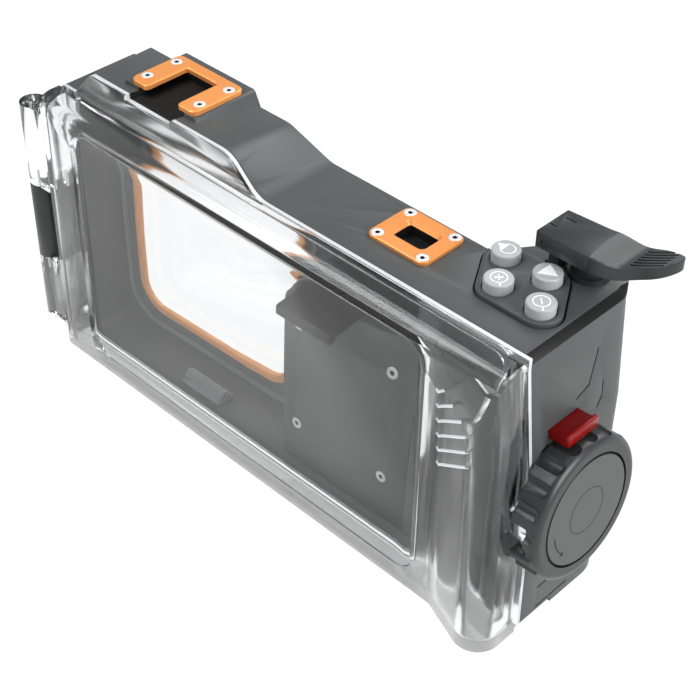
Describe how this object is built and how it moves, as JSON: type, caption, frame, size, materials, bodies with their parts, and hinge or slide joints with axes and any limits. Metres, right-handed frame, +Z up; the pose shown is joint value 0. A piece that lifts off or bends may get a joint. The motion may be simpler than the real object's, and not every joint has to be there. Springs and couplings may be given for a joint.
{
  "type": "waterproof phone case",
  "caption": "Underwater phone case with hinged clear door, latch dial with red lock tab, push buttons, shutter lever, accessory shoe and lens window.",
  "frame": {"origin": "middle of the flat base, half way through the depth of the body", "axes": "+X along the case towards the latch dial, -Y towards the user at the clear door, +Y through the lens window, +Z up"},
  "size_m": [0.1974, 0.0582, 0.1045],
  "materials": {
    "dark_shell": "matte, fine grain",
    "black_plastic": "satin",
    "clear_plastic": "clear moulded plastic",
    "lens_glass": "clear, polished",
    "orange_metal": "orange anodised, satin",
    "red_plastic": "gloss",
    "grey_button": "satin, white markings",
    "steel": "bright",
    "seal_rubber": "matte",
    "board_green": "satin",
    "cell_wrap": "satin"
  },
  "bodies": {
    "housing": {"housing_body": "dark_shell", "door_seal": "seal_rubber", "lens_frame": "orange_metal", "lens_glass": "lens_glass", "module_case": "black_plastic", "module_cover": "black_plastic", "module_screws": "steel", "circuit_board": "board_green", "battery": "cell_wrap", "grip_hatch": "black_plastic", "switch_board": "board_green", "shoe_plate": "orange_metal", "shoe_screws": "steel", "socket_plate": "orange_metal", "socket_screws": "steel", "button_bezel": "dark_shell", "stem_seals": "seal_rubber", "lever_bracket": "black_plastic", "lever_pin": "steel", "plunger_collar": "black_plastic", "dial_axle": "steel", "hinge_pin": "steel", "hinge_bushes": "black_plastic", "phone_rest": "seal_rubber", "clip_spring": "steel"},
    "door": {"clear_door": "clear_plastic"},
    "dial": {"latch_dial": "black_plastic", "dial_cap": "black_plastic"},
    "lock": {"lock_tab": "red_plastic"},
    "lever": {"shutter_lever": "black_plastic"},
    "plunger": {"shutter_plunger": "steel"},
    "clip": {"phone_clip": "black_plastic"},
    "key_front_left": {"button_front_left": "grey_button"},
    "key_front_right": {"button_front_right": "grey_button"},
    "key_back_left": {"button_back_left": "grey_button"},
    "key_back_right": {"button_back_right": "grey_button"}
  },
  "joints": [
    {"name": "door_hinge", "type": "hinge", "parent": "housing", "child": "door", "pos_m": [-0.0947, -0.0203, 0.045], "axis": [0, 0, -1], "range_deg": [0, 120]},
    {"name": "dial_turn", "type": "hinge", "parent": "housing", "child": "dial", "pos_m": [0.0891, -0.0017, 0.041], "axis": [-0.9973, 0, -0.0732], "range_deg": [0, 144]},
    {"name": "lock_slide", "type": "slide", "parent": "housing", "child": "lock", "axis": [0.9973, 0, 0.0732], "range_m": [0, 0.002]},
    {"name": "lever_press", "type": "hinge", "parent": "housing", "child": "lever", "pos_m": [0.0651, 0.0188, 0.0984], "axis": [0, 1, 0], "range_deg": [0, 8.5], "stiffness_Nm_per_rad": 0.05, "springref_deg": -2.86},
    {"name": "plunger_slide", "type": "slide", "parent": "housing", "child": "plunger", "axis": [0, 0, -1], "range_m": [0, 0.00105], "stiffness_N_per_m": 60, "springref_m": -0.0004},
    {"name": "clip_slide", "type": "slide", "parent": "housing", "child": "clip", "axis": [0, 0, 1], "range_m": [0, 0.018], "stiffness_N_per_m": 40, "springref_m": -0.004, "deforming": ["clip_spring"]},
    {"name": "front_left_press", "type": "slide", "parent": "housing", "child": "key_front_left", "axis": [0, 0, -1], "range_m": [0, 0.0016], "stiffness_N_per_m": 150, "springref_m": -0.0003},
    {"name": "front_right_press", "type": "slide", "parent": "housing", "child": "key_front_right", "axis": [0, 0, -1], "range_m": [0, 0.0016], "stiffness_N_per_m": 150, "springref_m": -0.0003},
    {"name": "back_left_press", "type": "slide", "parent": "housing", "child": "key_back_left", "axis": [0, 0, -1], "range_m": [0, 0.0016], "stiffness_N_per_m": 150, "springref_m": -0.0003},
    {"name": "back_right_press", "type": "slide", "parent": "housing", "child": "key_back_right", "axis": [0, 0, -1], "range_m": [0, 0.0016], "stiffness_N_per_m": 150, "springref_m": -0.0003}
  ],
  "couplings": [
    {"joint": "lever_press", "follows": "plunger_slide", "rad_per_m": 133.33}
  ]
}
